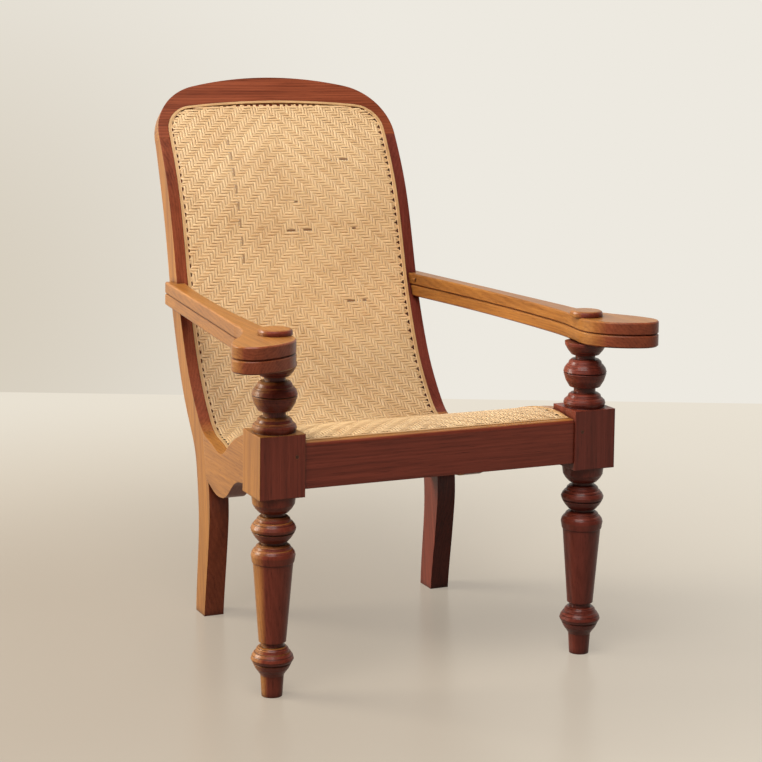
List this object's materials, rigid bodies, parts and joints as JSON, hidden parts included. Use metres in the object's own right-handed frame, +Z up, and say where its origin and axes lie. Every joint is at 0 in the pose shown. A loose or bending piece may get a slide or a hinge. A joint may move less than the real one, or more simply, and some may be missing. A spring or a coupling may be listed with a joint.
{
  "type": "planters chair",
  "caption": "Low lounging chair with turned front posts, sabre rear legs, one curved woven cane sling and flat arms with swing-out leg rests under them.",
  "frame": {"origin": "on the floor, under the middle of the chair's overall length and width", "axes": "+Z up, +X to the right in the front view, and the chair faces -Y, so +Y is towards its back"},
  "size_m": [0.804, 0.9604, 1.0167],
  "materials": {
    "teak": "satin, hand-waxed",
    "cane": "close woven cane, satin",
    "reed": "split reed, satin"
  },
  "bodies": {
    "chair": {"crest_rail": "teak", "front_rail": "teak", "rear_rail": "teak", "cane_sling": "cane", "back_reed": "reed", "front_reed": "reed", "arm_dowels": "teak", "front_rail_pegs": "teak", "front_post_left": "teak", "front_post_right": "teak", "back_stile_left": "teak", "back_stile_right": "teak", "side_rail_left": "teak", "side_rail_right": "teak", "arm_left": "teak", "arm_right": "teak", "pivot_knob_left": "teak", "pivot_knob_right": "teak"},
    "leg_rest_left": {"leg_rest_left": "teak"},
    "leg_rest_right": {"leg_rest_right": "teak"}
  },
  "joints": [
    {"name": "leg_rest_left_swing", "type": "hinge", "parent": "chair", "child": "leg_rest_left", "pos_m": [-0.3, -0.37223, 0.585], "axis": [0, 0, 1], "range_deg": [0, 180]},
    {"name": "leg_rest_right_swing", "type": "hinge", "parent": "chair", "child": "leg_rest_right", "pos_m": [0.3, -0.37223, 0.585], "axis": [0, 0, -1], "range_deg": [0, 180]}
  ]
}
